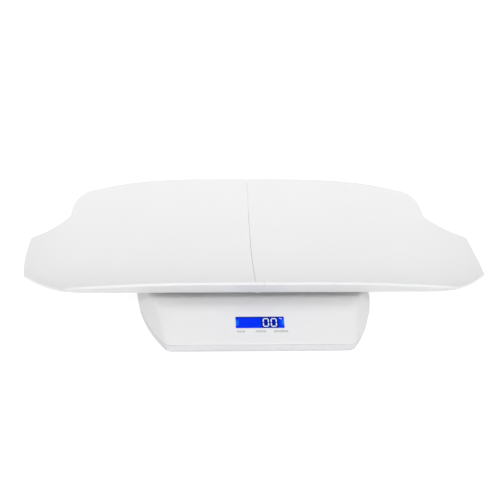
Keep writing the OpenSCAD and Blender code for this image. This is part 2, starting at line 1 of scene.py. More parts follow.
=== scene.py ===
"""Looks of the digital baby weighing scale: a white two-piece tray on a low base with a lit blue display."""
import math

import bmesh
import bpy
from mathutils import Matrix, Vector


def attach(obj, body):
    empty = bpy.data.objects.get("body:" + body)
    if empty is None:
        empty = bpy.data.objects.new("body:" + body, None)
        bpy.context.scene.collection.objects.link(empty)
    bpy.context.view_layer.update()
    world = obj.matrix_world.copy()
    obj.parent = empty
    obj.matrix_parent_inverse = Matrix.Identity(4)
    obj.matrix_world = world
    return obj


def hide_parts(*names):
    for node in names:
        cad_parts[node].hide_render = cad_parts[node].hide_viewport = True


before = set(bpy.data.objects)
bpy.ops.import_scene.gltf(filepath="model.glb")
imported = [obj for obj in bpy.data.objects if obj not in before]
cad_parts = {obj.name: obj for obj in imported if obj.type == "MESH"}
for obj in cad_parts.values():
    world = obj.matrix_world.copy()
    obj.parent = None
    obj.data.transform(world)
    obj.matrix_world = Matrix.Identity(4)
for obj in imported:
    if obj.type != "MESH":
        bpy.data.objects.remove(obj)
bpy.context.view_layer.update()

MM = 0.001

# ---- Sizes of the real scale, in millimetres ----

TRAY_LEN = 560
TRAY_DEPTH = 309
TROUGH_R = 230
TRAY_T = 2.6
TRAY_OVER = 1.8
ARCH_DROP = 20
ARCH_POWER = 3.6
EAR_LEN = 55
EAR_W = 106
NECK_W = 209
NECK_STEP = 5.5
END_BOW = 3
CORNER_R, NECK_R, EAR_R = 34, 4, 10
END_RISE = 15.6
RISE_LEN = 78
FLANGE_LEN = 136
FLANGE_H = 5
FLANGE_T = 2.4
SEAM_GAP = 0.5
LIP_Y, LIP_H, LIP_T, LIP_IN = (66, 157), 3, 2.0, 0.05  # lip along the back of the seam, past the flange
PEG_D, PEG_LEN, PEG_X, PEG_Y, PEG_FIT = 12, 11, 75, 25, 0.3
COLLAR_T = 3
RIB_X, RIB_IN, RIB_SPREAD = 14, 24, 1.5

BASE_W = 288
BASE_D = 277.6
SIDE_R = 300
BASE_CORNER_R = 10
TOP_CORNER_R = 26
WAIST_Z = 20
PLATEAU_Z = 42
PANEL_A = math.radians(25)
SIDE_DRAFT = math.radians(28)
TUB_DRAFT = math.radians(8)
BLEND_R = 45
WALL = 2.4
PART_DROP = 2
SEAT_GAP = 0.2
SKIRT_IN = 5.5
RIM_EXTRA = 0.4
CUP_T, CUP_FLOOR_T, CUP_CLEAR = 2, 1.6, 1

WINDOW_W, WINDOW_H, WINDOW_Y, WINDOW_T, WINDOW_R = 57, 19, 29, 1.6, 1.05
WINDOW_FIT = 0.15
WINDOW_BORDER = 2.3  # white print along the lens's lower edge
DIGITS = (11.6, 0.9)  # middle of the two digits from the window's middle, along and up
DIGIT_W, DIGIT_H, DIGIT_PITCH = 5.9, 11.0, 9.3
SEGMENT_HALF_T, SEGMENT_GAP, DIGIT_NOTCH = 0.65, 0.3, 0.7  # a lit bar's half width, and the gaps at its ends
FILM_Z, FILM_T = 0.02, 0.03  # how far print and lit bars stand off the panel, and a bar's thickness
LABEL_Y, LABEL_H = 17.1, 2.7
KEY_W, KEY_H, KEY_Y, KEY_PITCH, KEY_GAP, KEY_R = 16, 6, 11.5, 23, 0.15, 1.25
KEY_SEEN_GAP = 0.08  # the gap round a key as it shows
KEY_FLANGE, KEY_FLANGE_T = 1, 0.8

CELL_PITCH, CELL_Z, BOX_Y, CELL_SHIFT = 11.2, 14.75, 62, 1.7
SPRING_FOOT, CONTACT_W, PLATE_T = 24.7, 9, 0.4

# How finely the curves are divided
ARCH_STEPS, CORNER_STEPS, NECK_STEPS, EAR_STEPS = 30, 14, 6, 10
SKIN_COLUMNS, SKIN_ROWS, SEAM_STEPS = 110, 72, 60
SIDE_STEPS, BASE_CORNER_STEPS, EDGE_STEPS, BLEND_STEPS = 16, 12, 6, 12

CORNER_RUN = 40  # a point this far back along the edge sets the way into the tray's corner
ARCH_SHORT = 8  # the arch's last point stands this far before the corner's round
RING_LIFT = 0.01  # how much higher the inner of two rings stands that share a height
PEG_CUT, PANEL_CUT, CUT_OVER = 10, 6, 2  # how deep the cutters go, and how far they stand out
COVER_CREASE = 24  # degrees above which an edge of the top cover is sharp
TABLE_HALF, TABLE_GLOW = 6000, 0.62  # the table's half width, and its glow where it is seen directly
ROOM_LIGHT = 0.35  # what the white room gives off where it isn't seen directly

half_len = TRAY_LEN / 2
corner_x = half_len - EAR_LEN
corner_y = TRAY_DEPTH / 2 - ARCH_DROP
seat_z = PLATEAU_Z + SEAT_GAP
tray_z = PLATEAU_Z + TRAY_OVER + TRAY_T
half_w = BASE_W / 2
half_d = BASE_D / 2
part_z = WAIST_Z - PART_DROP
pegs = [(x, y) for x in (-PEG_X, PEG_X) for y in (-PEG_Y, PEG_Y)]


# ---- Materials ----

def colour(code):
    """Linear colour of an sRGB hex code."""
    parts = [int(code[i:i + 2], 16) / 255 for i in (1, 3, 5)]
    return tuple(p / 12.92 if p <= 0.04045 else ((p + 0.055) / 1.055) ** 2.4 for p in parts) + (1,)


def add(tree, kind, values=None, links=None, **settings):
    """Adds a node with its settings, its socket values and the sockets that feed it."""
    made = tree.nodes.new(kind)
    for name, value in settings.items():
        setattr(made, name, value)
    for name, value in (values or {}).items():
        made.inputs[name].default_value = value
    for name, source in (links or {}).items():
        tree.links.new(source, made.inputs[name])
    return made


def principled(name, **values):
    """A new material and its shader, with the given socket values."""
    mat = bpy.data.materials.new(name)
    mat.use_nodes = True
    shader = mat.node_tree.nodes["Principled BSDF"]
    for key, value in values.items():
        shader.inputs[key.replace("_", " ")].default_value = value
    return mat, mat.node_tree, shader


def object_place(tree):
    return add(tree, "ShaderNodeTexCoord").outputs["Object"]


def noise(tree, place, size, detail):
    """Noise whose lumps are about size millimetres across."""
    return add(tree, "ShaderNodeTexNoise", {"Scale": 1 / (size * MM), "Detail": detail},
               {"Vector": place}).outputs["Fac"]


def blended(tree, fac, low, high):
    """A colour between two, each a hex code or a socket, that runs with fac."""
    mix = add(tree, "ShaderNodeMix", links={"Factor": fac}, data_type="RGBA")
    for index, tone in ((6, low), (7, high)):
        if isinstance(tone, str):
            mix.inputs[index].default_value = colour(tone)
        else:
            tree.links.new(tone, mix.inputs[index])
    return mix.outputs[2]


def ramp(tree, value, start, end, top=1.0):
    """Rises smoothly from 0 at start to top at end, both in millimetres."""
    return add(tree, "ShaderNodeMapRange", {"From Min": start * MM, "From Max": end * MM, "To Max": top},
               {"Value": value}, interpolation_type="SMOOTHSTEP").outputs["Result"]


def bumped(tree, shader, height, strength, depth):
    bump = add(tree, "ShaderNodeBump", {"Strength": strength, "Distance": depth * MM}, {"Height": height})
    tree.links.new(bump.outputs["Normal"], shader.inputs["Normal"])


def moulded_plastic(name, low, high, roughness, grain, depth, ior=1.5):
    """Moulded or cast plastic: a fine surface grain, and a slow drift of tone and sheen across the wall."""
    mat, tree, shader = principled(name, Roughness=roughness, IOR=ior)
    place = object_place(tree)
    flow = noise(tree, place, 90, 2.0)
    tree.links.new(blended(tree, flow, low, high), shader.inputs["Base Color"])
    sheen = add(tree, "ShaderNodeMapRange", {"To Min": roughness - 0.04, "To Max": roughness + 0.05},
                {"Value": flow})
    tree.links.new(sheen.outputs["Result"], shader.inputs["Roughness"])
    bumped(tree, shader, noise(tree, place, grain, 4.0), 0.35, depth)
    return mat


def worked_metal(name, low, high, roughness, along):
    """Rolled, drawn or plated metal: fine streaks along the way it was worked."""
    mat, tree, shader = principled(name, Metallic=1.0, Roughness=roughness)
    stretch = add(tree, "ShaderNodeMapping", {"Scale": along}, {"Vector": object_place(tree)})
    streaks = noise(tree, stretch.outputs["Vector"], 1.2, 3.0)
    tree.links.new(blended(tree, streaks, low, high), shader.inputs["Base Color"])
    bumped(tree, shader, streaks, 0.2, 0.02)
    return mat


def lit_crystal(name):
    """Segments that the backlight shines through: a cool white, a shade fuller towards the lamps."""
    mat, tree, shader = principled(name, Base_Color=colour("#101522"), Roughness=0.5, Emission_Strength=1.0)
    tree.links.new(blended(tree, noise(tree, object_place(tree), 6, 1.0), "#D6E9FD", "#E4F2FF"),
                   shader.inputs["Emission Color"])
    return mat


def printed_ink(name):
    """Pad-printed ink: matt, and a little thinner here and there where the pad left less of it."""
    mat, tree, shader = principled(name, Roughness=0.7)
    tree.links.new(blended(tree, noise(tree, object_place(tree), 0.5, 2.0), "#55575B", "#6B6D71"),
                   shader.inputs["Base Color"])
    return mat


def polished_glass(name):
    """Display glass with its blue cell behind it: smooth, deep blue, barely uneven in tone."""
    mat, tree, shader = principled(name, Roughness=0.06, IOR=1.52)
    tree.links.new(blended(tree, noise(tree, object_place(tree), 30, 1.0), "#0B2CC4", "#0D33D8"),
                   shader.inputs["Base Color"])
    return mat


def lit_window(name):
    """Blue backlit display: paler at both ends by the lamps, dark along the top edge and round the digits."""
    mat, tree, shader = principled(name, Roughness=0.32, IOR=1.1, Emission_Strength=1.0)
    middle = Vector((0, -half_d + WINDOW_Y * math.cos(PANEL_A), WAIST_Z + WINDOW_Y * math.sin(PANEL_A))) * MM
    flat = Matrix.Rotation(-PANEL_A, 3, "X")
    laid = add(tree, "ShaderNodeMapping", {"Rotation": (-PANEL_A, 0, 0), "Location": -(flat @ middle)},
               {"Vector": object_place(tree)})
    parts = add(tree, "ShaderNodeSeparateXYZ", links={"Vector": laid.outputs["Vector"]})

    def away(axis, centre):
        """How far a point lies from a line across the window, along one axis."""
        off = add(tree, "ShaderNodeMath", {1: centre * MM}, {0: parts.outputs[axis]}, operation="SUBTRACT")
        return add(tree, "ShaderNodeMath", links={0: off.outputs[0]}, operation="ABSOLUTE").outputs[0]

    def both(first, second):
        return add(tree, "ShaderNodeMath", links={0: first, 1: second}, operation="MULTIPLY").outputs[0]

    beside, across = away("X", 0), away("Y", 0.9)
    lamps = both(ramp(tree, beside, WINDOW_W / 2 - 5, WINDOW_W / 2 - 1), ramp(tree, across, 6, 1.5, 0.9))
    lit = blended(tree, lamps, "#0230F5", "#1B7CF0")
    # The crystal round the lit digits stays dark
    crystal = both(ramp(tree, away("X", DIGITS[0]), 11.5, 9.2),
                   ramp(tree, away("Y", DIGITS[1]), 9.5, 7.2, 0.85))
    shaded = blended(tree, crystal, lit, "#060E7C")
    # The rebate's upper edge throws a thin shade on the crystal
    edge = ramp(tree, parts.outputs["Y"], WINDOW_H / 2 - 3, WINDOW_H / 2 - 1, 0.9)
    glow = blended(tree, edge, shaded, "#14287E")
    # White print on the lens's lower edge, which no light comes through
    print_top = WINDOW_BORDER - WINDOW_H / 2
    border = ramp(tree, parts.outputs["Y"], print_top + 0.1, print_top - 0.1)
    tree.links.new(blended(tree, border, glow, "#000000"), shader.inputs["Emission Color"])
    tree.links.new(blended(tree, border, "#01040E", "#EFEFF0"), shader.inputs["Base Color"])
    return mat


# Satin moulded ABS of the tray: an even white that takes a soft, wide highlight
TRAY_ABS = moulded_plastic("satin_moulded_abs_tray", "#F0F0F1", "#F3F3F4", 0.42, 0.8, 0.012)
# Satin moulded ABS of the casing: the same white, its sheen a touch flatter than the tray's
CASE_ABS = moulded_plastic("satin_moulded_abs_casing", "#EFEFEF", "#F2F2F2", 0.45, 0.8, 0.012)
# Satin moulded ABS of the lower cover and door, a shade greyer as painted shade, so the front face reads
# darker than the panel
SHADED_LOWER_ABS = moulded_plastic("satin_moulded_abs_lower_cover_painted_shade", "#E3E3E5", "#E7E7E9", 0.48, 0.8, 0.012)
# Keys moulded from the casing's ABS, worn a little smoother by fingers
KEY_ABS = moulded_plastic("satin_moulded_abs_keys", "#EFEFEF", "#F2F2F2", 0.4, 0.8, 0.008)
# Cast polycarbonate lens over the display, dyed deep blue, with the lit panel glowing through it
WINDOW_BLUE = lit_window("dyed_polycarbonate_lens")
# Lit segments: the cool white of the backlight where the crystal lets it through
SEGMENT_WHITE = lit_crystal("lit_liquid_crystal")
# Grey ink for the words, a film a few hundredths of a millimetre thick
PRINT_GREY = printed_ink("pad_printed_ink")
# Epoxy board under its solder mask: a glossy green with a faint weave showing through
PCB = moulded_plastic("solder_mask_epoxy_board", "#155B31", "#1E7440", 0.3, 1.5, 0.02)
# Moulded epoxy of chip and switches: near black, dull and finely pitted
EPOXY = moulded_plastic("moulded_epoxy_package", "#16171A", "#222327", 0.5, 0.4, 0.01)
# Moulded polycarbonate frame that holds the display: a pale grey satin
FRAME_PC = moulded_plastic("moulded_polycarbonate_frame", "#D3D5D8", "#DADCDF", 0.45, 0.8, 0.01, 1.58)
# Cast acrylic diffuser behind the crystal: milky and smooth
DIFFUSER = moulded_plastic("cast_acrylic_diffuser", "#E6ECF6", "#EEF3FA", 0.3, 1.0, 0.01, 1.49)
# Polished display glass over its blue cell: deep blue, with a clear reflection
LCD_GLASS = polished_glass("polished_display_glass")
# Cast thermoplastic rubber of the foot pads: pale, matt and softly grained, so it shows no highlight
PAD_RUBBER = moulded_plastic("cast_rubber_pad", "#C2C4C7", "#CDCFD1", 0.75, 0.6, 0.06)
# Shrunk film round the cells: a glossy green with long soft ripples
JACKET = moulded_plastic("shrunk_film_cell_jacket", "#3F7A55", "#4A8A61", 0.28, 4.0, 0.01)
# Etched polyimide film of the strain gauges: a glassy amber
GAUGE_FILM = moulded_plastic("etched_polyimide_film", "#B3772A", "#C98A3A", 0.35, 0.5, 0.01, 1.7)
# Stamped spring steel of the load cells: dull grey, streaked from the rolling mill
CELL_STEEL = worked_metal("stamped_spring_steel", "#8F959B", "#A9AFB5", 0.34, (1, 14, 1))
# Zinc-plated screws: a cool grey with a faint bloom
ZINC = worked_metal("zinc_plated_steel", "#A9ADB3", "#C3C7CB", 0.3, (1, 1, 8))
# Nickel-plated contacts and cell ends: brighter and warmer than the zinc
NICKEL = worked_metal("nickel_plated_steel", "#B9BAB7", "#CFCFCA", 0.24, (9, 1, 1))


# ---- Mesh helpers ----

def link(name, data):
    made = bpy.data.objects.new(name, data)
    bpy.context.scene.collection.objects.link(made)
    return made


def finish_mesh(bm, name, material, body, nodes=(), smooth_below=35):
    """Turns a bmesh in millimetres into a piece in metres that rides on a body and stands for CAD nodes."""
    bmesh.ops.transform(bm, matrix=Matrix.Scale(MM, 4), verts=bm.verts)
    mesh = bpy.data.meshes.new(name)
    bm.to_mesh(mesh)
    bm.free()
    mesh.materials.append(material)
    mesh.shade_smooth()
    mesh.set_sharp_from_angle(angle=math.radians(smooth_below))
    piece = link(name, mesh)
    if body:
        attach(piece, body)
    if nodes:
        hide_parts(*nodes)
    return piece


def bevelled(piece, width, segments=2, above=40):
    """A live bevel on the piece's sharp edges."""
    bevel = piece.modifiers.new("edge_round", "BEVEL")
    bevel.width = width * MM
    bevel.segments = segments
    bevel.limit_method = "ANGLE"
    bevel.angle_limit = math.radians(above)
    bevel.harden_normals = True
    return piece


def baked(piece):
    """A mesh of the object as its modifiers leave it."""
    return bpy.data.meshes.new_from_object(piece.evaluated_get(bpy.context.evaluated_depsgraph_get()))


def cut_out(piece, cutters):
    """Cuts the cutters, given as bmeshes in millimetres, out of the piece."""
    tools = [finish_mesh(bm, "cutter", piece.data.materials[0], None) for bm in cutters]
    for tool in tools:
        cut = piece.modifiers.new("cut", "BOOLEAN")
        cut.operation = "DIFFERENCE"
        cut.solver = "EXACT"
        cut.object = tool
    cut_mesh = baked(piece)
    piece.modifiers.clear()
    old = piece.data
    piece.data = cut_mesh
    cut_mesh.name = piece.name
    bpy.data.meshes.remove(old)
    for tool in tools:
        mesh = tool.data
        bpy.data.objects.remove(tool)
        bpy.data.meshes.remove(mesh)


def rod(bm, x, y, z0, z1, radius, segments=48):
    """An upright cylinder."""
    made = bmesh.ops.create_cone(bm, cap_ends=True, segments=segments, radius1=radius, radius2=radius,
                                 depth=z1 - z0)
    bmesh.ops.translate(bm, vec=(x, y, (z0 + z1) / 2), verts=made["verts"])


def block(bm, low, high):
    """A box between two corners."""
    made = bmesh.ops.create_cube(bm, size=1)
    bmesh.ops.scale(bm, vec=[b - a for a, b in zip(low, high)], verts=made["verts"])
    bmesh.ops.translate(bm, vec=[(a + b) / 2 for a, b in zip(low, high)], verts=made["verts"])
    return made["verts"]


def plate(bm, w, h, r, z0, z1, corner_steps=8):
    """A flat plate with rounded corners, in the plane of X and Y."""
    verts = block(bm, (-w / 2, -h / 2, z0), (w / 2, h / 2, z1))
    upright = [e for e in {e for v in verts for e in v.link_edges}
               if abs(e.verts[0].co.z - e.verts[1].co.z) > (z1 - z0) / 2]
    bmesh.ops.bevel(bm, geom=upright, offset=r, offset_type="OFFSET", segments=corner_steps, profile=0.5,
                    affect="EDGES", material=-1)


def spun(bm, profile, place, steps=48):
    """A turned shape: the profile, as (radius, height) from axis to axis, spun once round the place's Z."""
    verts = [bm.verts.new(place @ Vector((r, 0, z))) for r, z in profile]
    edges = [bm.edges.new(pair) for pair in zip(verts, verts[1:])]
    bmesh.ops.spin(bm, geom=verts + edges, cent=place.translation, axis=place.to_3x3() @ Vector((0, 0, 1)),
                   angle=math.tau, steps=steps, use_merge=True, use_duplicate=False)
    bmesh.ops.remove_doubles(bm, verts=bm.verts, dist=1e-4)
    bmesh.ops.recalc_face_normals(bm, faces=bm.faces)


ON_PANEL = Matrix.Translation((0, -half_d, WAIST_Z)) @ Matrix.Rotation(PANEL_A, 4, "X")


def on_panel(bm, x=0, y=0, z=0):
    """Moves a whole bmesh from the panel's own frame to its place."""
    bmesh.ops.transform(bm, matrix=ON_PANEL @ Matrix.Translation((x, y, z)), verts=bm.verts)
    return bm


# ---- Tray ----

def round_at(a, b, c, r, steps):
    """Points of the round that takes the corner b off the path a - b - c."""
    a, b, c = Vector(a), Vector(b), Vector(c)
    u, v = (a - b).normalized(), (c - b).normalized()
    half = math.acos(u.dot(v)) / 2
    middle = b + (u + v).normalized() * r / math.sin(half)
    first, last = b + u * r / math.tan(half) - middle, b + v * r / math.tan(half) - middle
    sweep = math.copysign(1, first.cross(last)) * (math.pi - 2 * half)
    return [middle + Matrix.Rotation(sweep * i / steps, 2) @ first for i in range(steps + 1)]


def arch_y(x):
    return TRAY_DEPTH / 2 - ARCH_DROP * (x / corner_x) ** ARCH_POWER


def tray_outline():
    """Half outline of one tray half from the seam to its end, as (distance along, half depth)."""
    corner = (corner_x, corner_y)
    neck = (corner_x + NECK_STEP, NECK_W / 2)
    ear = (half_len - END_BOW, EAR_W / 2)
    slope = ARCH_POWER * ARCH_DROP / corner_x
    before = (corner[0] - CORNER_RUN, corner[1] + CORNER_RUN * slope)
    corner_arc = round_at(before, corner, neck, CORNER_R, CORNER_STEPS)
    start = SEAM_GAP / 2
    run = corner_arc[0].x - ARCH_SHORT - start
    arch = [Vector((x, arch_y(x))) for x in (start + run * i / ARCH_STEPS for i in range(ARCH_STEPS + 1))]
    neck_arc = round_at(corner, neck, ear, NECK_R, NECK_STEPS)
    ear_arc = round_at(neck, ear, (ear[0], 0), EAR_R, EAR_STEPS)
    return arch + corner_arc + neck_arc + ear_arc


def along_outline(outline, share):
    """The point at a share of the outline's length."""
    steps = [(b - a).length for a, b in zip(outline, outline[1:])]
    left = share * sum(steps)
    for a, b, step in zip(outline, outline[1:], steps):
        if left <= step:
            return a.lerp(b, left / step)
        left -= step
    return outline[-1].copy()


def trough_z(x, y):
    """Height of the tray's upper surface, whose ends turn up in one long curve."""
    rise = max(0, x - half_len + RISE_LEN) / RISE_LEN
    return tray_z + TROUGH_R - math.sqrt(TROUGH_R ** 2 - y ** 2) + END_RISE * rise ** 2


def tray_skin(bm):
    """The upper surface of the right half: a flat grid bent to the outline and the trough."""
    outline = tray_outline()
    bmesh.ops.create_grid(bm, x_segments=SKIN_COLUMNS, y_segments=SKIN_ROWS, size=1)
    for v in bm.verts:
        share, across = (v.co.x + 1) / 2, v.co.y
        at = along_outline(outline, share)
        bow = END_BOW * max(0, (at.x - corner_x) / (half_len - END_BOW - corner_x)) ** 2
        x, y = at.x + bow * (1 - across ** 2), at.y * across
        v.co = (x, y, trough_z(x, y))


def tray_underside(bm):
    """Pegs with their collars, and two ribs."""
    for way in (-1, 1):
        y = way * PEG_Y
        top = trough_z(0, y) - TRAY_T / 2
        rod(bm, PEG_X, y, PLATEAU_Z - PEG_LEN, top, PEG_D / 2)
        rod(bm, PEG_X, y, seat_z, top, PEG_D / 2 + COLLAR_T)
        rib_y = y * RIB_SPREAD
        block(bm, (RIB_X, rib_y - FLANGE_T / 2, seat_z),
              (half_w - RIB_IN, rib_y + FLANGE_T / 2, trough_z(0, rib_y) - TRAY_T / 2))


def seam_strip(bm, y0, y1, height, x0, x1):
    """A strip under the tray's wall, spun along the seam from one place across the tray to another."""
    inner, outer = TROUGH_R + TRAY_T / 2, TROUGH_R + TRAY_T + height
    start, end = math.asin(y0 / outer), math.asin(y1 / outer)
    centre = Vector((0, 0, tray_z + TROUGH_R))
    ring = [bm.verts.new(centre + Vector((x, r * math.sin(start), -r * math.cos(start))))
            for x, r in ((x0, inner), (x1, inner), (x1, outer), (x0, outer))]
    first = bm.faces.new(ring)
    bmesh.ops.spin(bm, geom=[first] + list(first.edges) + ring, cent=centre, axis=(1, 0, 0),
                   angle=end - start, steps=SEAM_STEPS, use_merge=False, use_duplicate=False)


def seam_flange(bm):
    """The flange in the middle, cut flat where it lies over the base, and the lip along the back."""
    seam_strip(bm, -FLANGE_LEN / 2, FLANGE_LEN / 2, FLANGE_H, SEAM_GAP / 2, SEAM_GAP / 2 + FLANGE_T)
    bmesh.ops.recalc_face_normals(bm, faces=bm.faces)
    cut = bmesh.ops.bisect_plane(bm, geom=list(bm.verts) + list(bm.edges) + list(bm.faces), dist=1e-4,
                                 plane_co=(0, 0, seat_z), plane_no=(0, 0, -1), clear_outer=True)
    bmesh.ops.contextual_create(bm, geom=[e for e in cut["geom_cut"] if isinstance(e, bmesh.types.BMEdge)])
    lip_x = SEAM_GAP / 2 + LIP_IN
    seam_strip(bm, *LIP_Y, LIP_H, lip_x, lip_x + LIP_T)
    bmesh.ops.recalc_face_normals(bm, faces=bm.faces)


def mirrored(bm):
    """Turns a right-hand bmesh into its left-hand twin, faces outwards."""
    bmesh.ops.scale(bm, vec=(-1, 1, 1), verts=bm.verts)
    bmesh.ops.reverse_faces(bm, faces=bm.faces)


def tray_half(side):
    node, body = f"tray_{side}", f"tray_{side}_half"
    for what, make in {"shell": tray_skin, "pegs": tray_underside, "flange": seam_flange}.items():
        bm = bmesh.new()
        make(bm)
        if side == "left":
            mirrored(bm)
        piece = finish_mesh(bm, f"{node}_{what}", TRAY_ABS, body, [node])
        if what == "shell":
            wall = piece.modifiers.new("wall", "SOLIDIFY")
            wall.thickness = TRAY_T * MM
            wall.offset = -1
        bevelled(piece, 0.8 if what == "shell" else 0.4, 3, 50)


# ---- Base ----

def base_ring(bm, z, d, w, r):
    """One closed ring of the base: half depth d, half width w, corner radius r."""
    def side_x(y):
        return w - SIDE_R + math.sqrt(SIDE_R ** 2 - y ** 2)
    arc = round_at((side_x(d - 2 * r), d - 2 * r), (side_x(d), d), (0, d), r, BASE_CORNER_STEPS)
    reach = arc[0].y - r / 2  # the side's points stop short of the corner
    side = [Vector((side_x(y), y)) for y in (reach * i / SIDE_STEPS for i in range(SIDE_STEPS + 1))]
    edge = [Vector((arc[-1].x * (1 - i / EDGE_STEPS), d)) for i in range(1, EDGE_STEPS + 1)]
    quarter = side + arc + edge
    points = (quarter + [Vector((-p.x, p.y)) for p in quarter[-2::-1]]
              + [Vector((-p.x, -p.y)) for p in quarter[1:]] + [Vector((p.x, -p.y)) for p in quarter[-2:0:-1]])
    verts = [bm.verts.new((p.x, p.y, z)) for p in points]
    return [bm.edges.new((a, b)) for a, b in zip(verts, verts[1:] + verts[:1])]


def stack(bm, rings):
    """Bridges the rings one to the next and caps both ends."""
    loops = [base_ring(bm, *ring) for ring in rings]
    for low, high in zip(loops, loops[1:]):
        bmesh.ops.bridge_loops(bm, edges=low + high)
    for loop in (loops[0], loops[-1]):
        bmesh.ops.contextual_create(bm, geom=loop)
    bmesh.ops.recalc_face_normals(bm, faces=bm.faces)


def corner_at(z):
    return BASE_CORNER_R + (TOP_CORNER_R - BASE_CORNER_R) * (z - WAIST_Z) / (PLATEAU_Z - WAIST_Z)


def tub(z):
    """How far the wall below the waist has drawn in at a height."""
    return (WAIST_Z - z) * math.tan(TUB_DRAFT)


def upper_section():
    """Rings of the top cover from the waist to the flat top: (height, half depth, half width, radius)."""
    flat_d = half_d - (PLATEAU_Z - WAIST_Z) / math.tan(PANEL_A) - BLEND_R * math.tan(PANEL_A / 2)
    panel_top = PLATEAU_Z - BLEND_R * (1 - math.cos(PANEL_A))
    shoulder_r = (PLATEAU_Z - panel_top) / (1 - math.sin(SIDE_DRAFT))
    shoulder_w = half_w - (panel_top - WAIST_Z) * math.tan(SIDE_DRAFT) - shoulder_r * math.cos(SIDE_DRAFT)
    rings = [(WAIST_Z, half_d, half_w, BASE_CORNER_R)]
    for i in range(BLEND_STEPS, -1, -1):
        t = PANEL_A * i / BLEND_STEPS
        z = PLATEAU_Z - BLEND_R * (1 - math.cos(t))
        w = shoulder_w + shoulder_r * math.sqrt(1 - (1 - (PLATEAU_Z - z) / shoulder_r) ** 2)
        rings.append((z, flat_d + BLEND_R * math.sin(t), w, corner_at(z)))
    return rings


def top_cover():
    drop = WALL / math.cos(PANEL_A)
    side_in = (WALL - drop * math.sin(SIDE_DRAFT)) / math.cos(SIDE_DRAFT)
    rim_w = half_w - WALL - RIM_EXTRA
    upper = upper_section()
    inner = [(z - drop, d, w - side_in, r) for z, d, w, r in reversed(upper[1:])]
    # Two rings at one height would bridge the wrong way round, so the inner one is a hair higher
    inner += [(z, half_d - SKIRT_IN, rim_w, BASE_CORNER_R)
              for z in (WAIST_Z + SKIRT_IN * math.tan(PANEL_A) - drop, part_z + RING_LIFT)]
    bm = bmesh.new()
    stack(bm, inner + [(part_z, half_d - tub(part_z), half_w - tub(part_z), BASE_CORNER_R)] + upper)
    piece = finish_mesh(bm, "top_cover_shell", CASE_ABS, "root", ["top_cover"])
    cutters = []
    for x, y in pegs:
        cutters.append(bmesh.new())
        rod(cutters[-1], x, y, PLATEAU_Z - PEG_CUT, PLATEAU_Z + CUT_OVER, PEG_D / 2 + PEG_FIT)
    holes = [(WINDOW_W + 2 * WINDOW_FIT, WINDOW_H + 2 * WINDOW_FIT, WINDOW_R + WINDOW_FIT, 0, WINDOW_Y)]
    holes += [(KEY_W + 2 * KEY_SEEN_GAP, KEY_H + 2 * KEY_SEEN_GAP, KEY_R + KEY_SEEN_GAP, i * KEY_PITCH, KEY_Y)
              for i in (-1, 0, 1)]
    for w, h, r, x, y in holes:
        cutters.append(bmesh.new())
        plate(cutters[-1], w, h, r, -PANEL_CUT, CUT_OVER)
        on_panel(cutters[-1], x, y)
    cut_out(piece, cutters)
    piece.data.shade_smooth()
    piece.data.set_sharp_from_angle(angle=math.radians(COVER_CREASE))
    bevelled(piece, 0.06, 2, COVER_CREASE)


def peg_sockets():
    """Cups with a floor, hung under the flat top, that the tray's pegs stand in."""
    floor_z = PLATEAU_Z - PEG_LEN - CUP_CLEAR
    inner, outer = PEG_D / 2 + PEG_FIT, PEG_D / 2 + PEG_FIT + CUP_T
    top, under = PLATEAU_Z - WALL / 2, floor_z - CUP_FLOOR_T
    profile = [(0, floor_z), (inner, floor_z), (inner, top), (outer, top), (outer, under), (0, under)]
    bm = bmesh.new()
    for x, y in pegs:
        spun(bm, profile, Matrix.Translation((x, y, 0)))
    finish_mesh(bm, "peg_sockets", CASE_ABS, "root", ["top_cover"])


# ---- Display and keys ----

def display_window():
    bm = bmesh.new()
    plate(bm, WINDOW_W, WINDOW_H, WINDOW_R, -WINDOW_T, 0)
    piece = finish_mesh(on_panel(bm, 0, WINDOW_Y), "display_lens", WINDOW_BLUE, "root",
                        ["display_window"])
    bevelled(piece, 0.2, 3)


def segment(bm, x, y, length, turned):
    """One lit bar of a digit, with pointed ends."""
    end, t = length / 2, SEGMENT_HALF_T
    bar = [(-end, 0), (t - end, -t), (end - t, -t), (end, 0), (end - t, t), (t - end, t)]
    verts = [bm.verts.new((x - b, y + a, FILM_Z) if turned else (x + a, y + b, FILM_Z)) for a, b in bar]
    top = bmesh.ops.extrude_face_region(bm, geom=[bm.faces.new(verts)])
    raised = [v for v in top["geom"] if isinstance(v, bmesh.types.BMVert)]
    bmesh.ops.translate(bm, vec=(0, 0, FILM_T), verts=raised)


def lit_digits():
    """Two noughts on the display."""
    bm = bmesh.new()
    for i in (-1, 1):
        x = DIGITS[0] + i * DIGIT_PITCH / 2
        for way in (-1, 1):
            segment(bm, x, DIGITS[1] + way * DIGIT_H / 2, DIGIT_W - SEGMENT_GAP, False)
            for half in (-1, 1):
                y = DIGITS[1] + half * DIGIT_H / 4
                segment(bm, x + way * DIGIT_W / 2, y, DIGIT_H / 2 - DIGIT_NOTCH, True)
    bmesh.ops.recalc_face_normals(bm, faces=bm.faces)
    finish_mesh(on_panel(bm, 0, WINDOW_Y), "lit_digits", SEGMENT_WHITE, "root")


def from_curve(curve):
    """A bmesh of a curve or a text, which isn't kept."""
    shape = link("drawn", curve)
    mesh = baked(shape)
    bpy.data.objects.remove(shape)
    bm = bmesh.new()
    bm.from_mesh(mesh)
    bpy.data.meshes.remove(mesh)
    return bm


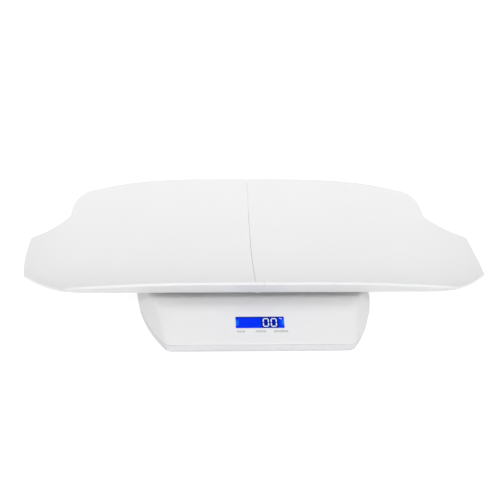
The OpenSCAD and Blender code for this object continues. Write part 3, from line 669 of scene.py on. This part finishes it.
def lettering(words, name, material, height, width, x, y):
    """Generic words printed on the panel, cap height and overall width in millimetres."""
    curve = bpy.data.curves.new(name, "FONT")
    curve.body = words
    curve.align_x = "CENTER"
    curve.extrude = 0.01
    bm = from_curve(curve)
    low = [min(v.co[i] for v in bm.verts) for i in range(2)]
    high = [max(v.co[i] for v in bm.verts) for i in range(2)]
    bmesh.ops.translate(bm, vec=(-(low[0] + high[0]) / 2, -(low[1] + high[1]) / 2, 0), verts=bm.verts)
    bmesh.ops.scale(bm, vec=(width / (high[0] - low[0]), height / (high[1] - low[1]), 1.5), verts=bm.verts)
    finish_mesh(on_panel(bm, x, y, FILM_Z), name, material, "root")


def keys():
    for i, name in ((-1, "unit"), (0, "lock"), (1, "tare")):
        bm = bmesh.new()
        plate(bm, KEY_W, KEY_H, KEY_R, -WALL - KEY_GAP, 0)
        plate(bm, KEY_W + 2 * KEY_FLANGE, KEY_H + 2 * KEY_FLANGE, KEY_R + KEY_FLANGE,
              -WALL - KEY_GAP - KEY_FLANGE_T, -WALL - KEY_GAP - 0.01)
        piece = finish_mesh(on_panel(bm, i * KEY_PITCH, KEY_Y), f"{name}_key_cap", KEY_ABS, f"{name}_button",
                            [f"{name}_key"])
        bevelled(piece, 0.05, 2)


# ---- Cells and their contacts ----

# Turned profiles of an AAA cell, as (radius, distance from its middle)
JACKET_PROFILE = [(0, -22.1), (4.7, -22.1), (5.1, -22.2), (5.25, -22.0), (5.25, 20.9), (5.1, 21.25),
                  (4.6, 21.35), (0, 21.35)]
PLUS_PROFILE = [(0, 21.3), (4.4, 21.3), (4.3, 21.5), (2.0, 21.5), (1.9, 22.1), (1.7, 22.25), (0, 22.25)]
MINUS_PROFILE = [(0, -22.25), (3.6, -22.25), (3.9, -22.05), (0, -22.05)]


def cells():
    """Four cells, each the other way round from its neighbour, with bare metal at both ends."""
    for i in range(4):
        way = 1 if i % 2 == 0 else -1
        x = (i - 1.5) * CELL_PITCH
        laid = Matrix.Rotation(-way * math.pi / 2, 4, "X")
        place = Matrix.Translation((x, BOX_Y + way * CELL_SHIFT, CELL_Z)) @ laid
        bm = bmesh.new()
        spun(bm, JACKET_PROFILE, place)
        finish_mesh(bm, f"cell_jacket_{i + 1}", JACKET, "root", [f"battery_{i + 1}"])
        bm = bmesh.new()
        for profile in (PLUS_PROFILE, MINUS_PROFILE):
            spun(bm, profile, place)
        finish_mesh(bm, f"cell_ends_{i + 1}", NICKEL, "root", [f"battery_{i + 1}"])
        spring(i, x, -way)


def spring(i, x, way):
    """A conical coil on its plate, pressed against the flat end of a cell."""
    turns, steps, wire = 3.5, 24, 0.35
    foot, tip, height = 3.9, 2.4, 3.1
    curve = bpy.data.curves.new("coil", "CURVE")
    curve.dimensions = "3D"
    curve.bevel_depth = wire
    curve.bevel_resolution = 2
    curve.use_fill_caps = True
    path = curve.splines.new("POLY")
    count = int(turns * steps)
    path.points.add(count)
    for k, point in enumerate(path.points):
        share, angle = k / count, math.tau * k / steps
        radius = foot + (tip - foot) * share
        point.co = (radius * math.cos(angle), radius * math.sin(angle), PLATE_T + wire + height * share, 1)
    bm = from_curve(curve)
    block(bm, (-CONTACT_W / 2, -CONTACT_W / 2, 0), (CONTACT_W / 2, CONTACT_W / 2, PLATE_T))
    laid = Matrix.Rotation(way * math.pi / 2, 4, "X")
    place = Matrix.Translation((x, BOX_Y + way * SPRING_FOOT, CELL_Z)) @ laid
    bmesh.ops.transform(bm, matrix=place, verts=bm.verts)
    finish_mesh(bm, f"contact_coil_{i + 1}", NICKEL, "root", ["contact_springs"])


# ---- Nodes that keep their CAD shape ----

def eased(node, material, body, width, above=30):
    """A merged copy of a CAD node, with its curves shaded smooth and its sharp edges softly rounded."""
    bm = bmesh.new()
    bm.from_mesh(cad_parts[node].data)
    bmesh.ops.scale(bm, vec=(1 / MM,) * 3, verts=bm.verts)
    bmesh.ops.remove_doubles(bm, verts=bm.verts, dist=0.002)
    bmesh.ops.dissolve_limit(bm, angle_limit=math.radians(0.4), verts=bm.verts, edges=bm.edges)
    piece = finish_mesh(bm, f"{node}_finished", material, body, [node], above)
    bevelled(piece, width, 2, above)


def dress(node, material):
    """Gives a CAD node its finish."""
    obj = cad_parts[node]
    obj.data.materials.clear()
    obj.data.materials.append(material)


def dress_all():
    for node, material in {
            "lcd_panel": LCD_GLASS, "backlight_panel": DIFFUSER, "lcd_frame": FRAME_PC, "main_board": PCB,
            "controller_chip": EPOXY, "board_screws": ZINC, "contact_plates": NICKEL,
            "strain_gauges": GAUGE_FILM}.items():
        dress(node, material)
    for name in ("unit", "lock", "tare"):
        dress(f"{name}_switch", EPOXY)
        dress(f"{name}_plunger", EPOXY)
    # The lower cover and door take the greyer ABS, whose darker tone is painted shade on the front face
    eased("bottom_cover", SHADED_LOWER_ABS, "root", 0.2)
    eased("battery_door", SHADED_LOWER_ABS, "door", 0.15)
    eased("cover_screws", ZINC, "root", 0.12)
    for i in range(1, 5):
        eased(f"foot_pad_{i}", PAD_RUBBER, "root", 0.3)
        eased(f"foot_cup_{i}", CASE_ABS, "root", 0.4)
        eased(f"load_cell_{i}", CELL_STEEL, "root", 0.15)


# ---- Studio ----

def camera():
    """The photograph's viewpoint: nearly front on, 25 degrees above the table, through a long lens."""
    turn, rise, roll = (math.radians(a) for a in (-4.667, 25.0, -1.877))
    distance, focal_px, target = 1684.3, 1368.5, Vector((-5.365, 0, 74.057))
    frame_px, sensor = 500, 36
    back = Vector((math.sin(turn) * math.cos(rise), -math.cos(turn) * math.cos(rise), math.sin(rise)))
    right = Vector((math.cos(turn), math.sin(turn), 0))
    up = back.cross(right)
    right, up = (right * math.cos(roll) - up * math.sin(roll), right * math.sin(roll) + up * math.cos(roll))
    data = bpy.data.cameras.new("camera")
    data.sensor_width = sensor
    data.lens = focal_px / frame_px * sensor
    data.clip_end = 50
    cam = link("camera", data)
    cam.matrix_world = (Matrix.Translation((target + back * distance) * MM)
                        @ Matrix((right, up, back)).transposed().to_4x4())
    bpy.context.scene.camera = cam


def seen_directly(tree):
    """1 where a surface is seen, straight, in a gloss or through glass, and 0 where it only gives light."""
    path = add(tree, "ShaderNodeLightPath")
    seen = path.outputs["Is Camera Ray"]
    for kind in ("Is Glossy Ray", "Is Transmission Ray"):
        either = add(tree, "ShaderNodeMath", links={0: seen, 1: path.outputs[kind]}, operation="MAXIMUM")
        seen = either.outputs[0]
    return seen


def floor():
    """A white table that shows pure white to the camera where nothing shades it."""
    mat, tree, shader = principled("white_studio_paper", Base_Color=colour("#F2F2F2"), Roughness=0.9)
    glow = add(tree, "ShaderNodeEmission", {"Color": (1, 1, 1, 1)})
    strength = add(tree, "ShaderNodeMath", {1: TABLE_GLOW}, {0: seen_directly(tree)}, operation="MULTIPLY")
    tree.links.new(strength.outputs[0], glow.inputs["Strength"])
    both = add(tree, "ShaderNodeAddShader", links={0: shader.outputs[0], 1: glow.outputs[0]})
    tree.links.new(both.outputs[0], tree.nodes["Material Output"].inputs["Surface"])
    bm = bmesh.new()
    bmesh.ops.create_grid(bm, x_segments=1, y_segments=1, size=TABLE_HALF)
    finish_mesh(bm, "table", mat, None)


def soft_light(name, strength, turn, rise, spread, shadow=True):
    """Even light from one side: turn 0 is the front, 180 the back; rise is its height, both in degrees."""
    data = bpy.data.lights.new(name, "SUN")
    data.energy = strength
    data.angle = math.radians(spread)
    data.use_shadow = shadow
    turn, rise = math.radians(turn), math.radians(rise)
    way = Vector((math.sin(turn) * math.cos(rise), -math.cos(turn) * math.cos(rise), math.sin(rise)))
    link(name, data).rotation_euler = way.to_track_quat("Z", "Y").to_euler()


def studio():
    world = bpy.data.worlds.new("white_room")
    bpy.context.scene.world = world
    world.use_nodes = True
    tree = world.node_tree
    back = tree.nodes["Background"]
    back.inputs["Color"].default_value = (1, 1, 1, 1)
    level = add(tree, "ShaderNodeMapRange", {"To Min": ROOM_LIGHT, "To Max": 1.0},
                {"Value": seen_directly(tree)})
    tree.links.new(level.outputs["Result"], back.inputs["Strength"])
    # The front lamp is narrow, so the tray's front edge throws the dark band on the flat top
    soft_light("front_key", 1.45, 0, 32, 5)
    soft_light("overhead_softbox", 0.05, -20, 75, 60)
    soft_light("back_fill", 0.34, 180, 35, 60, shadow=False)
    soft_light("left_fill", 0.35, -90, 35, 60, shadow=False)
    soft_light("right_fill", 0.35, 90, 35, 60, shadow=False)
    soft_light("top_fill", 0.14, 0, 85, 60, shadow=False)
    bpy.context.scene.view_settings.view_transform = "Standard"


camera()
floor()
studio()
dress_all()
cells()
tray_half("left")
tray_half("right")
top_cover()
peg_sockets()
display_window()
lit_digits()
lettering("kg", "lit_unit_mark", SEGMENT_WHITE, 2.2, 2.8, 24.6, WINDOW_Y + 6.6)
for words, name, width, x in (("KG/LB", "unit_label", 8.8, -22.3), ("HOLD", "lock_label", 11.7, 0.5),
                              ("ON/ZERO", "tare_label", 16.4, 23.9)):
    lettering(words, name, PRINT_GREY, LABEL_H, width, x, LABEL_Y)
keys()
